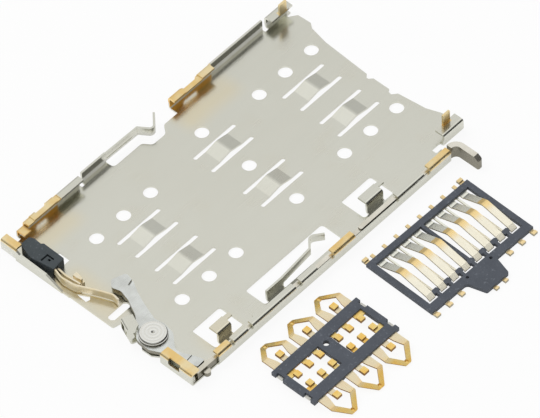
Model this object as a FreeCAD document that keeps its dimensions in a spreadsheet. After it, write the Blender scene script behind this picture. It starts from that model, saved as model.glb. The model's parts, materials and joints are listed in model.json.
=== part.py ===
import FreeCAD, Part
import math
import os
from types import SimpleNamespace

import Sketcher

# A push-push style socket for a sliding tray, shown taken apart: the folded sheet shell with its
# ejector and tray switch, the contact block for the upper card, and the contact block for the
# lower card, both lying beside the shell.
# All lengths are in millimetres. X runs along the socket towards its open entrance, Y towards the
# back wall, and Z up from the underside of the shell's plate. Places on the shell are measured
# from its first contact hole, and every piece is then moved so that the origin is the datum point
# in the middle of the plate's underside.

SIZES = {
    # Sheet of the shell
    "sheet": 0.15,
    "bend": 0.25,
    "fold": 0.20,
    "foot": 0.40,
    "lap": 0.10,
    "wall_top": 1.07,
    "low_top": 0.77,
    "solder_top": 1.15,
    # Outer faces of the shell, and the datum
    "left_face": -4.70,
    "front_face": -13.07,
    "back_face": 4.05,
    "entrance": 21.75,
    "datum_x": 8.50,
    "datum_y": -4.50,
    # Contact holes and spring slots of the plate
    "column_pitch": 2.54,
    "row_pitch": 7.62,
    "hole_radius": 0.50,
    "second_group_x": 15.82,
    "second_group_y": 0.294,
    "middle_hole_x": 10.97,
    "slot_length": 3.95,
    "slot_width": 0.33,
    "bridge_length": 2.10,
    "bridge_lift": 0.22,
    # Edges, windows and tabs of the shell
    "window_edge": -12.00,
    "hook_stand_off": 0.30,
    "latch_edge": 3.25,
    "latch_left": 5.00,
    "latch_right": 11.10,
    "guard_face": -11.85,
    "guard_left": 20.55,
    "guard_right": 22.45,
    "guard_reach": 0.80,
    "claw_reach": 0.72,
    "tab_reach": 0.60,
    "window_low": 0.62,
    "window_deep": 0.22,
    "peg_x": 21.20,
    "peg_wide": 0.65,
    "peg_top": 2.00,
    "bracket_x": -4.27,
    "bracket_y": -6.27,
    "bracket_long": 1.45,
    "bracket_reach": 0.85,
    "bracket_turn": -22.5,
    # Push rod and its channel
    "rod_thick": 0.34,
    "rod_gap": 0.04,
    "rod_low": 0.23,
    "rod_high": 0.76,
    "rod_raised": 0.88,
    "raised_left": 11.35,
    "raised_right": 14.75,
    "rod_left": -4.10,
    "finger_x": 20.92,
    "finger_thick": 0.42,
    "finger_end": -14.85,
    "finger_low": 0.05,
    "finger_high": 1.10,
    "finger_bend": 0.80,
    "channel_left": -2.30,
    "channel_right": 19.85,
    "cover_reach": 0.52,
    # Ejector lever and its rivet
    "pivot_x": -3.68,
    "pivot_y": -8.60,
    "lever_low": 0.50,
    "lever_thick": 0.30,
    "flange_low": 0.25,
    "nose_x": 0.38,
    "nose_y": -3.60,
    "nose_radius": 0.25,
    "nose_gap": 0.05,
    "nose_low": 0.25,
    "lug_thick": 0.25,
    "lug_reach": 0.50,
    "hub_radius": 1.14,
    "shank_radius": 0.50,
    "rivet_gap": 0.03,
    "shoulder_radius": 0.70,
    "tail_radius": 0.40,
    "head_radius": 0.98,
    "head_thick": 0.27,
    # Tray switch
    "switch_x": -4.00,
    "switch_y": 0.00,
    "switch_high": 0.95,
    "blade_thick": 0.12,
    "blade_low": 0.30,
    "blade_high": 0.85,
    # Upper card's contact block
    "sim_x": 3.15,
    "sim_y": -18.10,
    "sim_margin": 0.10,
    "sim_deep": 3.72,
    "sim_low": 0.32,
    "sim_high": 0.65,
    "sim_bar": 0.82,
    "sim_post": 1.06,
    "sim_end": 0.25,
    "sim_ear": 0.24,
    "sim_sheet": 0.10,
    "sim_contact_low": 0.42,
    "dome_depth": 0.08,
    "pad_half": 0.225,
    "pad_step": 0.14,
    "arm_half": 1.12,
    "arm_width": 0.39,
    "shoulder": 1.05,
    # Lower card's contact block
    "sd_x": 14.45,
    "sd_y": -17.755,
    "sd_turn": -1.4,
    "sd_margin": 0.915,
    "sd_deep": 5.85,
    "sd_high": 0.30,
    "sd_pad": 1.40,
    "sd_pitch": 1.10,
    "sd_sheet": 0.10,
    "paddle_width": 0.53,
    "paddle_crest": 0.80,
    "crest_y": 0.49,
    "toe_y": -2.10,
    "rail_end": -1.60,
    "seat_low": 0.00,
}


class Size:
    """A length: its value, and the expression over the spreadsheet that gives it."""

    def __init__(self, value, text):
        self.value = value
        self.text = text

    @staticmethod
    def of(other):
        return other if isinstance(other, Size) else Size(other, repr(round(other, 6)))

    def joined(self, other, sign, value):
        return Size(value, "(%s %s %s)" % (self.text, sign, Size.of(other).text))

    def __add__(self, other):
        return self.joined(other, "+", self.value + Size.of(other).value)

    def __radd__(self, other):
        return Size.of(other) + self

    def __sub__(self, other):
        return self.joined(other, "-", self.value - Size.of(other).value)

    def __rsub__(self, other):
        return Size.of(other) - self

    def __mul__(self, other):
        return self.joined(other, "*", self.value * Size.of(other).value)

    def __rmul__(self, other):
        return Size.of(other) * self

    def __truediv__(self, other):
        return self.joined(other, "/", self.value / Size.of(other).value)

    def __neg__(self):
        return Size(-self.value, "(-1 * %s)" % self.text)


S = SimpleNamespace(**{name: Size(value, "sizes." + name) for name, value in SIZES.items()})

doc = FreeCAD.newDocument("socket")


def fill_sheet():
    """Writes every size into the spreadsheet, each cell under its own name."""
    sheet = doc.addObject("Spreadsheet::Sheet", "sizes")
    for row, (name, value) in enumerate(SIZES.items(), 1):
        sheet.set("A%d" % row, str(value))
        sheet.setAlias("A%d" % row, name)
    doc.recompute()


def bind(thing, prop, size):
    """Gives a property its size, and keeps it tied to the spreadsheet."""
    thing.setExpression(prop, Size.of(size).text)


def new_body(name, x=0, y=0, z=0, turn=0):
    """A body whose own origin stands at x, y, z from the first contact hole, turned about Z."""
    body = doc.addObject("PartDesign::Body", name)
    body.Label = name
    angle = Size.of(turn).value
    body.Placement = FreeCAD.Placement(FreeCAD.Vector(), FreeCAD.Rotation(FreeCAD.Vector(0, 0, 1), angle))
    bind(body, "Placement.Base.x", Size.of(x) - S.datum_x)
    bind(body, "Placement.Base.y", Size.of(y) - S.datum_y)
    bind(body, "Placement.Base.z", z)
    return body


def new_sketch(body, name, at=(0, 0, 0), turn=0, stand=0):
    """A sketch at a point of the body, stood up about its own X and then turned about Z."""
    sketch = body.newObject("Sketcher::SketchObject", name)
    plane = next(item for item in body.Origin.OriginFeatures if item.Role == "XY_Plane")
    sketch.AttachmentSupport = [(plane, "")]
    sketch.MapMode = "FlatFace"
    about_z = FreeCAD.Rotation(FreeCAD.Vector(0, 0, 1), turn)
    about_x = FreeCAD.Rotation(FreeCAD.Vector(1, 0, 0), stand)
    corner = FreeCAD.Vector(*[Size.of(value).value for value in at])
    sketch.AttachmentOffset = FreeCAD.Placement(corner, about_z * about_x)
    for axis, value in zip("xyz", at):
        if isinstance(value, Size):
            bind(sketch, "AttachmentOffset.Base." + axis, value)
    return sketch


def add_rules(sketch, rules):
    """Adds constraints, and ties each one that carries a size to the spreadsheet."""
    numbers = sketch.addConstraint([rule for rule, size in rules])
    for number, (rule, size) in zip(numbers, rules):
        if isinstance(size, Size):
            sketch.setExpression("Constraints[%d]" % number, size.text)


def pinned(element, point, x, y):
    """Rules that hold a point of an element at x, y from the sketch's origin."""
    rule = Sketcher.Constraint
    return [
        (rule("DistanceX", -1, 1, element, point, Size.of(x).value), x),
        (rule("DistanceY", -1, 1, element, point, Size.of(y).value), y),
    ]


def outline(sketch, corners, closed=True):
    """Joins corners by lines. A corner (x, y, radius) is rounded by an arc tangent to its lines."""
    rule = Sketcher.Constraint
    points = [FreeCAD.Vector(Size.of(c[0]).value, Size.of(c[1]).value, 0) for c in corners]
    count = len(corners)
    ends = []
    arcs = {}
    for index, corner in enumerate(corners):
        here = points[index]
        if len(corner) < 3:
            ends.append((here, here))
            continue
        radius = Size.of(corner[2]).value
        back = (points[index - 1] - here).normalize()
        ahead = (points[(index + 1) % count] - here).normalize()
        half = back.getAngle(ahead) / 2
        cut = radius / math.tan(half)
        centre = here + (back + ahead).normalize() * (radius / math.sin(half))
        start, finish = here + back * cut, here + ahead * cut
        ends.append((start, finish))
        left_turn = (back.cross(ahead)).z < 0
        first, last = (start, finish) if left_turn else (finish, start)
        low = math.atan2(first.y - centre.y, first.x - centre.x)
        high = math.atan2(last.y - centre.y, last.x - centre.x)
        circle_shape = Part.Circle(centre, FreeCAD.Vector(0, 0, 1), radius)
        arcs[index] = (Part.ArcOfCircle(circle_shape, low, high if high > low else high + 2 * math.pi),
                       left_turn)
    spans = count if closed else count - 1
    lines = [Part.LineSegment(ends[i][1], ends[(i + 1) % count][0]) for i in range(spans)]
    first_line = sketch.addGeometry(lines, False)[0]
    line = {i: first_line + i for i in range(spans)}
    rules = []
    for index, corner in enumerate(corners):
        before = line.get((index - 1) % count)
        after = line.get(index)
        if index not in arcs:
            if after is not None:
                rules += pinned(after, 1, corner[0], corner[1])
                if before is not None:
                    rules.append((rule("Coincident", before, 2, after, 1), None))
            else:
                rules += pinned(before, 2, corner[0], corner[1])
            continue
        shape, left_turn = arcs[index]
        arc = sketch.addGeometry(shape, False)
        mark = sketch.addGeometry(Part.Point(points[index]), True)
        start, finish = (1, 2) if left_turn else (2, 1)
        rules.append((rule("Tangent", before, 2, arc, start), None))
        rules.append((rule("Tangent", arc, finish, after, 1), None))
        rules.append((rule("PointOnObject", mark, 1, before), None))
        rules.append((rule("PointOnObject", mark, 1, after), None))
        rules.append((rule("Radius", arc, Size.of(corner[2]).value), corner[2]))
        rules += pinned(mark, 1, corner[0], corner[1])
    add_rules(sketch, rules)
    return sketch


def circle(sketch, x, y, radius):
    """A circle about x, y."""
    centre = FreeCAD.Vector(Size.of(x).value, Size.of(y).value, 0)
    number = sketch.addGeometry(
        Part.Circle(centre, FreeCAD.Vector(0, 0, 1), Size.of(radius).value), False)
    rules = pinned(number, 3, x, y)
    rules.append((Sketcher.Constraint("Radius", number, Size.of(radius).value), radius))
    add_rules(sketch, rules)
    return sketch


def slot(sketch, x, y, length, width):
    """A slot along X about x, y. Its ends have three short sides each, which keeps the facets few."""
    reach, half = length / 2, width / 2
    cut = half * 0.6
    outline(sketch, [(x - reach + cut, y - half), (x + reach - cut, y - half), (x + reach, y - half + cut),
                     (x + reach, y + half - cut), (x + reach - cut, y + half), (x - reach + cut, y + half),
                     (x - reach, y + half - cut), (x - reach, y - half + cut)])
    return sketch


def octagon(x, y, radius):
    """The corners of an eight-sided outline about x, y, for holes and domes too small to need a circle."""
    angles = [math.radians(22.5 + 45 * step) for step in range(8)]
    return [(x + radius * math.cos(angle), y + radius * math.sin(angle)) for angle in angles]


def rectangle(x_low, y_low, x_high, y_high, radius=None):
    """The corners of a rectangle, rounded if a radius is given."""
    corners = [(x_low, y_low), (x_high, y_low), (x_high, y_high), (x_low, y_high)]
    return [corner + (radius,) for corner in corners] if radius is not None else corners


def pad(body, name, sketch, length):
    """Thickens a sketch along its normal."""
    feature = body.newObject("PartDesign::Pad", name)
    feature.Profile = sketch
    bind(feature, "Length", length)
    return feature


def pocket(body, name, sketch, depth=None):
    """Cuts a sketch downwards against its normal, through everything or to a depth."""
    feature = body.newObject("PartDesign::Pocket", name)
    feature.Profile = sketch
    if depth is None:
        feature.Type = "ThroughAll"
    else:
        bind(feature, "Length", depth)
    return feature


def block(body, name, corners, low, high):
    """Pads an outline from one height to another."""
    sketch = outline(new_sketch(body, name + "_outline", at=(0, 0, low)), corners)
    return pad(body, name, sketch, Size.of(high) - low)


def ribbon(body, name, path, low, high, thick, turn=90):
    """A strip of sheet on edge that follows a path. It sets out along X, or along -Y if turn is 0."""
    spine = outline(new_sketch(body, name + "_path", at=(0, 0, low)), path, closed=False)
    start = path[0]
    section = new_sketch(body, name + "_section", at=(start[0], start[1], low), turn=turn, stand=90)
    outline(section, rectangle(-thick / 2, 0, thick / 2, Size.of(high) - low))
    feature = body.newObject("PartDesign::AdditivePipe", name)
    feature.Profile = section
    feature.Spine = (spine, [])
    feature.Transition = "Right corner"
    return feature


def fused(name, pieces):
    """One solid of pieces that were bent or moulded as one."""
    whole = doc.addObject("Part::MultiFuse", name)
    whole.Label = name
    whole.Shapes = pieces
    return whole


# How each wall faces: the turn of its profile, whose own X points into the socket.
SIDES = {"front": 90, "back": -90, "left": 0}


def wall(name, side, face, low, high, profile, window=None):
    """A wall's profile, drawn inwards from its outer face and padded between two places along it.

    A window is cut through its upper bend, between two more places."""
    body = new_body("shell_" + name)
    places = {"front": (low, face, 0), "back": (high, face, 0), "left": (face, high, 0)}
    sketch = new_sketch(body, name + "_profile", at=places[side], turn=SIDES[side], stand=90)
    outline(sketch, profile)
    pad(body, name, sketch, Size.of(high) - low)
    if window:
        start, turn = ((window[0], face, 0), 0)
        if side == "back":
            start, turn = ((window[1], face, 0), 180)
        if side == "left":
            start, turn = ((face, window[1], 0), -90)
        opening = new_sketch(body, name + "_opening", at=start, turn=turn, stand=90)
        outline(opening, rectangle(0, S.window_low, window[1] - window[0], S.solder_top + S.lap, 0.1))
        pocket(body, name + "_opening_cut", opening, S.window_deep)
    return body


def plain_wall(top):
    """The profile of a wall bent straight up from the plate."""
    return [(S.foot + S.lap, 0), (0, 0, S.bend), (0, top), (S.sheet, top),
            (S.sheet, S.sheet), (S.foot + S.lap, S.sheet)]


def capped_wall(top, reach):
    """The profile of a wall bent up from the plate whose upper edge is folded in."""
    under = top - S.sheet
    return [(S.foot + S.lap, 0), (0, 0, S.bend), (0, top, S.fold), (reach, top), (reach, under),
            (S.sheet, under), (S.sheet, S.sheet), (S.foot + S.lap, S.sheet)]


def folded_cover(top, reach):
    """The profile of a cover: it rises from a wall that is drawn on its own, and is folded in."""
    under, root = top - S.sheet, S.low_top / 2
    return [(0, root), (0, top, S.fold), (reach, top), (reach, under), (S.sheet, under), (S.sheet, root)]


def lanced_hook(stand_off, top, reach):
    """The profile of a tab cut out of a window, bent up, and folded on towards the tray."""
    under = top - S.sheet
    return [(-S.lap, 0), (stand_off, 0, S.bend), (stand_off, under), (reach, under), (reach, top),
            (stand_off - S.sheet, top, S.fold), (stand_off - S.sheet, S.sheet), (-S.lap, S.sheet)]


def lanced_flange(stand_off, top):
    """The profile of a tab cut out of a window and bent straight up."""
    return [(-S.lap, 0), (stand_off, 0, S.bend), (stand_off, top), (stand_off - S.sheet, top),
            (stand_off - S.sheet, S.sheet), (-S.lap, S.sheet)]


# The windows under the hooks and the side spring: left, right and upper edge, and corner radius.
SPRING_WINDOWS = [(-1.50, 1.10, -9.85, 0.20), (3.15, 10.45, -10.20, 0.25), (12.60, 15.45, -9.90, 0.20)]

# The shell's slots: the middle of each group in x, and the y of its pairs' slots.
SLOT_GROUPS = [
    (2.50, (-1.40, -3.01), (-4.74, -6.34)),
    (10.93, (-0.25, -1.85), (-4.68, -6.28)),
    (18.56, (-1.12, -2.72), (-4.45, -6.06)),
]


def plate_corners():
    """The plate's edge, as far as the feet of the walls, from its front left corner."""
    left = S.left_face + S.foot
    front = S.front_face + S.foot
    back = S.back_face - S.foot
    edge = S.entrance
    ledge = S.latch_edge
    front_edge = [(left, S.front_face + 0.17), (S.channel_left, S.front_face + 0.17),
                  (S.channel_left, front), (S.channel_right, front), (S.channel_right + 0.10, -12.20),
                  (S.guard_left, S.guard_face + S.foot), (S.guard_right, S.guard_face + S.foot)]
    entrance_edge = [(edge + 0.75, -9.90), (edge + 0.35, -8.80), (edge + 0.10, -6.60),
                     (edge - 0.25, -6.30), (edge - 0.20, -6.00), (edge, -5.90), (edge, -4.50),
                     (edge - 0.25, -4.25), (edge - 0.25, -4.10), (edge, -3.90), (edge + 0.25, 0.00),
                     (edge + 0.55, 1.50), (edge + 0.85, 1.90), (edge + 0.80, 3.00),
                     (edge + 0.25, 3.40)]
    back_edge = [(edge + 0.25, back), (S.latch_right, back), (S.latch_right, ledge),
                 (9.80, ledge, 0.3), (9.30, ledge - 0.63, 0.4), (8.10, ledge - 0.63, 0.4),
                 (7.65, ledge, 0.3), (S.latch_left, ledge, 0.3), (S.latch_left, back), (left, back)]
    left_edge = [(left, -2.00), (S.left_face + 0.10, -2.00), (S.left_face + 0.10, -5.85, 0.15),
                 (-4.05, -5.97), (-3.77, -5.79), (-3.95, -6.40), (-4.45, -7.60), (-4.35, -8.10),
                 (-4.66, -8.50), (-4.64, -9.30), (left, -9.80)]
    return front_edge + entrance_edge + back_edge + left_edge


def make_plate():
    """The flat plate with its contact holes, spring slots and windows."""
    body = new_body("shell_plate")
    block(body, "plate", plate_corners(), 0, S.sheet)

    holes = new_sketch(body, "contact_holes", at=(0, 0, S.sheet))
    for column in range(3):
        for row in range(2):
            x, y = S.column_pitch * column, -S.row_pitch * row
            circle(holes, x, y, S.hole_radius)
            circle(holes, S.second_group_x + x, S.second_group_y + y, S.hole_radius)
    for y in (0.93, -3.31, -7.53):
        circle(holes, S.middle_hole_x, y, S.hole_radius)
    circle(holes, S.pivot_x, S.pivot_y, S.tail_radius)
    pocket(body, "contact_hole_cut", holes)

    slots = new_sketch(body, "spring_slots", at=(0, 0, S.sheet))
    for x, upper_pair, lower_pair in SLOT_GROUPS:
        for y in upper_pair + lower_pair:
            slot(slots, Size.of(x), Size.of(y), S.slot_length, S.slot_width)
    slot(slots, Size.of(-3.40), Size.of(-5.25), Size.of(1.75), Size.of(0.59))
    pocket(body, "spring_slot_cut", slots)

    windows = new_sketch(body, "windows", at=(0, 0, S.sheet))
    for low, high, upper, corner in SPRING_WINDOWS:
        outline(windows, rectangle(low, S.window_edge, high, upper, corner))
    outline(windows, rectangle(19.70, -11.90, 20.50, S.guard_face + S.foot, 0.1))
    outline(windows, rectangle(-3.60, 0.05, -2.42, 1.05, 0.1))
    outline(windows, [(-4.25, -3.12), (-3.97, -3.21), (-3.71, -3.01), (-4.19, -2.14)])
    half = S.bridge_length / 2
    for x, upper_pair, lower_pair in SLOT_GROUPS:
        for high, low in (upper_pair, lower_pair):
            outline(windows, rectangle(x - half, low, x + half, high))
    pocket(body, "window_cut", windows)
    return body


def make_bridges():
    """The strips between each pair of slots, arched up to press on the tray."""
    half = S.bridge_length / 2
    lift = S.bridge_lift
    bridges = []
    for x, upper_pair, lower_pair in SLOT_GROUPS:
        for high, low in (upper_pair, lower_pair):
            name = "shell_bridge_%d" % (len(bridges) + 1)
            body = new_body(name)
            top = high - S.slot_width / 2
            sketch = new_sketch(body, name + "_profile", at=(0, top, 0), stand=90)
            lower = [(x - half - S.lap, 0), (x - half, 0), (x, lift, 0.8), (x + half, 0),
                     (x + half + S.lap, 0)]
            upper = [(corner[0], corner[1] + S.sheet) + corner[2:] for corner in reversed(lower)]
            outline(sketch, lower + upper)
            pad(body, name + "_arch", sketch, high - low - S.slot_width)
            bridges.append(body)
    return bridges


def make_back_walls():
    """The back wall, with its solder tabs, its cap and the claw beside the entrance."""
    tab = capped_wall(S.solder_top, S.tab_reach)
    low_tab = capped_wall(S.wall_top, S.tab_reach)
    plain = plain_wall(S.wall_top)
    corner = capped_wall(S.low_top, S.tab_reach + 0.19)
    claw = capped_wall(S.wall_top, S.claw_reach)
    sections = [
        ("corner_tab", -3.28, -2.65, corner), ("tab_step", -2.65, -2.10, low_tab),
        ("tab_1", -2.10, 0.02, tab, (-1.63, -0.63)), ("tab_1_end", 0.02, 0.32, low_tab),
        ("cap", 0.35, 2.45, low_tab), ("wall_1", 2.75, S.latch_left, plain),
        ("tab_2", S.latch_right, 12.20, tab), ("tab_2_dip", 12.20, 13.80, low_tab, (12.35, 13.65)),
        ("tab_3", 13.80, 14.95, tab), ("wall_2", 14.95, 20.05, plain), ("claw", 20.40, 22.40, claw),
    ]
    return [wall("back_" + name, "back", S.back_face, low, high, profile, *window)
            for name, low, high, profile, *window in sections]


def make_left_walls():
    """The left wall beside the switch, sloping down, and the two solder tabs at its ends."""
    slope = new_body("shell_left_wall")
    side = new_sketch(slope, "left_wall_side", at=(S.left_face, 0, 0), turn=90, stand=90)
    outline(side, [(-1.40, 0), (2.75, 0), (2.75, S.wall_top), (2.35, S.low_top + 0.08), (0.00, S.low_top),
                   (-1.40, S.sheet)])
    pad(slope, "left_wall", side, S.sheet)
    foot = new_body("shell_left_foot")
    block(foot, "left_foot", rectangle(S.left_face + S.lap / 2, -2.00, S.left_face + S.foot + S.lap, 2.75),
          0, S.sheet)
    return [
        slope, foot,
        wall("left_tab", "left", S.left_face, 2.70, 4.05, capped_wall(S.solder_top, S.tab_reach)),
        wall("left_front_tab", "left", S.left_face, -12.90, -10.15,
             capped_wall(S.solder_top, S.tab_reach + 0.15), (-11.83, -10.87)),
    ]


def make_channel():
    """The front wall and the covers folded over the push rod's channel."""
    gold = folded_cover(S.solder_top, S.cover_reach)
    silver = folded_cover(S.wall_top, S.cover_reach)
    face = S.front_face
    walls = [wall("channel", "front", face, S.channel_left, S.channel_right, plain_wall(S.low_top))]
    tabs = [(S.channel_left, -1.10), (8.60, 10.60), (17.85, S.channel_right)]
    covers = [(-0.80, 0.50), (0.95, 5.00), (5.55, 7.05), (14.80, 17.30)]
    for number, (low, high) in enumerate(tabs, 1):
        walls.append(wall("channel_tab_%d" % number, "front", face, low, high, gold))
    for number, (low, high) in enumerate(covers, 1):
        walls.append(wall("channel_cover_%d" % number, "front", face, low, high, silver))
    tongue = new_body("shell_cover_tongue")
    edge = face + S.cover_reach
    block(tongue, "cover_tongue", rectangle(1.45, edge - 0.10, 2.40, edge + 0.10),
          S.wall_top - S.sheet, S.wall_top)
    walls.append(tongue)
    walls.append(wall("guard", "front", S.guard_face, S.guard_left, S.guard_right,
                      capped_wall(S.wall_top, S.guard_reach)))
    return walls


def make_pegs():
    """The two pegs at the entrance that stand up from the folded edges, for holes in the board."""
    pegs = []
    guard_edge = S.guard_face + S.guard_reach
    claw_edge = S.back_face - S.claw_reach
    for name, low in (("guard_peg", guard_edge - S.sheet), ("claw_peg", claw_edge)):
        body = new_body("shell_" + name)
        block(body, name, rectangle(S.peg_x, low, S.peg_x + S.peg_wide, low + S.sheet),
              S.wall_top - S.sheet, S.peg_top)
        pegs.append(body)
    return pegs


def make_springs():
    """The hooks and leaf springs cut out of the windows and the back wall."""
    off = S.hook_stand_off
    edge = S.window_edge
    hook = lanced_hook(off, S.wall_top, off + 0.67)
    pieces = [
        wall("hook_1", "front", edge, -1.05, 0.15, hook),
        wall("hook_2", "front", edge, 13.05, 14.60, hook),
        wall("side_spring_root", "front", edge, 3.50, 5.05, lanced_flange(off, S.wall_top)),
    ]
    for name, low in (("hook_1_nub", 0.05), ("hook_2_nub", 14.50)):
        body = new_body("shell_" + name)
        block(body, name, rectangle(low, edge + off + 0.27, low + 0.62, edge + off + 0.60),
              S.wall_top - S.sheet, S.wall_top)
        pieces.append(body)

    line = edge + off - S.sheet / 2
    side = new_body("shell_side_spring")
    ribbon(side, "side_spring", [(4.90, line), (7.90, line + 0.25), (8.65, -10.80, 0.35),
                                 (9.45, line + 0.35)], S.wall_top - 0.60, S.wall_top, S.sheet)
    latch_line = S.back_face - S.sheet / 2
    latch = new_body("shell_latch_spring")
    ribbon(latch, "latch_spring", [(4.80, latch_line), (8.00, latch_line - 0.05),
                                   (8.65, 2.98, 0.30), (9.65, latch_line)], 0.30, 1.00, S.sheet)
    slit = new_sketch(latch, "latch_slit", at=(0, S.back_face, 0), turn=180, stand=90)
    outline(slit, rectangle(-7.40, 0.50, -5.05, 0.57))
    pocket(latch, "latch_slit_cut", slit, 2 * S.sheet)
    return pieces + [side, latch]


def make_bracket():
    """The hold-down over the lever: a slanted wall with a window, and a cap trimmed by the rivet."""
    body = new_body("shell_bracket")
    corner = (S.bracket_x, S.bracket_y, 0)
    turn = S.bracket_turn.value
    sketch = new_sketch(body, "bracket_profile", at=corner, turn=turn, stand=90)
    outline(sketch, capped_wall(S.wall_top, S.bracket_reach))
    pad(body, "bracket", sketch, S.bracket_long)
    cut = new_sketch(body, "bracket_window", at=corner, turn=turn - 90, stand=90)
    outline(cut, rectangle(0.14, 0.20, 1.10, 0.90))
    window = pocket(body, "bracket_window_cut", cut, S.sheet + 0.2)
    window.Midplane = True
    room = circle(new_sketch(body, "rivet_room", at=(0, 0, S.wall_top)), S.pivot_x, S.pivot_y,
                  S.head_radius + 0.15)
    pocket(body, "rivet_room_cut", room, S.sheet + 0.2)
    flare = new_body("shell_bracket_flare")
    block(flare, "bracket_flare", [(-4.35, -7.10), (-4.95, -7.45, 0.1), (-5.15, -7.95, 0.1),
                                   (-4.72, -8.02, 0.1)], S.wall_top - S.sheet, S.wall_top)
    return [body, flare]


def make_shell():
    """The folded sheet shell, one solid."""
    pieces = [make_plate()] + make_bridges() + make_back_walls() + make_left_walls()
    return fused("shell", pieces + make_channel() + make_pegs() + make_springs() + make_bracket())


def make_push_rod():
    """The flat rod on edge: its tall finger at the entrance, and the lugs that drive the lever."""
    body = new_body("push_rod")
    outer = S.front_face + S.sheet + S.rod_gap
    inner = outer + S.rod_thick
    right, thick, bend, tip = S.finger_x, S.finger_thick, S.finger_bend, S.finger_end
    start = right - bend - S.rod_gap / 2
    block(body, "bar", [(S.rod_left, outer), (start + S.lap, outer), (start + S.lap, inner),
                        (S.rod_left, inner, 0.1)], S.rod_low, S.rod_high)
    block(body, "raised_bar", [(S.raised_left, outer, 0.1), (S.raised_right, outer),
                               (S.raised_right, inner), (S.raised_left, inner, 0.1)],
          S.rod_high - S.lap, S.rod_raised)
    block(body, "finger", [(start, outer), (right - thick, outer, bend - thick), (right - thick, tip, 0.12),
                           (right, tip, 0.12), (right, outer + thick, bend), (start, outer + thick)],
          S.finger_low, S.finger_high)
    worn = new_sketch(body, "finger_end_side", at=(right - thick - S.lap, 0, 0), turn=90, stand=90)
    outline(worn, [(tip - 0.01, S.finger_high - 0.28), (tip + 0.40, S.finger_high + 0.01),
                   (tip - 0.01, S.finger_high + 0.01)])
    chamfer = pocket(body, "finger_chamfer", worn, thick + 2 * S.lap)
    chamfer.Reversed = True
    nose = S.pivot_x + S.nose_x
    near = S.nose_radius + S.nose_gap
    for name, low in (("left_lug", nose - near - S.lug_thick), ("right_lug", nose + near)):
        block(body, name, rectangle(low, inner - S.rod_gap, low + S.lug_thick, inner + S.lug_reach),
              S.rod_low, S.lever_low - S.rod_gap)
    boss = circle(new_sketch(body, "boss_circle", at=(0, 0, S.rod_low)), nose - 0.10, outer - 0.15, 0.25)
    pad(body, "boss", boss, 0.35)
    return body


def make_lever():
    """The ejector lever: its hub, long arm, folded head and the short arm with its nose."""
    body = new_body("ejector_lever", S.pivot_x, S.pivot_y, 0)
    hub = S.hub_radius
    short_arm = [(-0.02, -3.88, 0.08), (0.72, -3.84, 0.08), (0.46, -3.05), (0.20, -2.50, 0.4),
                 (0.02, -1.90, 0.5)]
    long_arm = [(0.95, -0.85, 0.6), (hub, 0.10, 0.8), (0.98, 0.80, 0.6), (1.48, 2.25), (1.84, 3.12),
                (2.31, 3.95, 0.8), (2.51, 4.75, 0.25), (1.46, 5.15, 0.3), (1.01, 4.65, 0.3),
                (1.21, 4.00, 0.5), (0.97, 3.10, 0.8), (0.43, 2.00, 0.8), (-0.28, 1.15)]
    hub_side = [(-1.00, 0.60, 0.6), (-1.10, -0.60, 0.6), (-0.65, -1.50, 0.5), (-0.35, -2.50, 0.5)]
    block(body, "blank", short_arm + long_arm + hub_side, S.lever_low, S.lever_low + S.lever_thick)
    nose = circle(new_sketch(body, "nose_circle", at=(0, 0, S.nose_low)), S.nose_x, S.nose_y, S.nose_radius)
    pad(body, "nose", nose, S.lever_low - S.nose_low + S.lap)
    block(body, "head_flange", [(1.46, 5.08), (1.08, 4.65), (1.25, 4.00), (1.10, 3.50), (1.30, 3.44),
                                (1.47, 4.00), (1.31, 4.58), (1.61, 4.94)],
          S.flange_low, S.lever_low + S.lap)
    bore = circle(new_sketch(body, "bore_circle", at=(0, 0, S.lever_low + S.lever_thick)), 0, 0,
                  S.shank_radius + S.rivet_gap)
    pocket(body, "bore", bore)
    notch = outline(new_sketch(body, "head_notch", at=(0, 0, S.lever_low + S.lever_thick)),
                    [(2.50, 4.20), (1.86, 4.02), (1.88, 3.92), (2.46, 4.04)])
    pocket(body, "notch", notch, S.lever_thick * 0.6)
    step = outline(new_sketch(body, "nose_step", at=(0, 0, S.lever_low + S.lever_thick)),
                   [(-0.12, -3.02), (0.42, -2.96), (0.42, -3.02), (-0.12, -3.08)])
    pocket(body, "step", step, S.lever_thick * 0.5)
    return body


def make_rivet():
    """The lever's rivet, turned: tail in the plate, shoulder, shank and dimpled head."""
    body = new_body("lever_rivet", S.pivot_x, S.pivot_y, 0)
    floor = S.lever_low - S.rivet_gap
    under = S.lever_low + S.lever_thick + S.rivet_gap
    top = under + S.head_thick
    half = new_sketch(body, "half_section", stand=90)
    outline(half, [(0, 0), (S.tail_radius, 0), (S.tail_radius, S.sheet), (S.shoulder_radius, S.sheet),
                   (S.shoulder_radius, floor), (S.shank_radius, floor), (S.shank_radius, under),
                   (S.head_radius, under), (S.head_radius, under + 0.10),
                   (S.head_radius - 0.05, under + 0.12), (S.head_radius - 0.05, top - 0.04),
                   (S.head_radius - 0.09, top), (0.13, top), (0, top - 0.09)])
    turned = body.newObject("PartDesign::Revolution", "turned")
    turned.Profile = half
    turned.ReferenceAxis = (half, ["V_Axis"])
    return body


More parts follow.
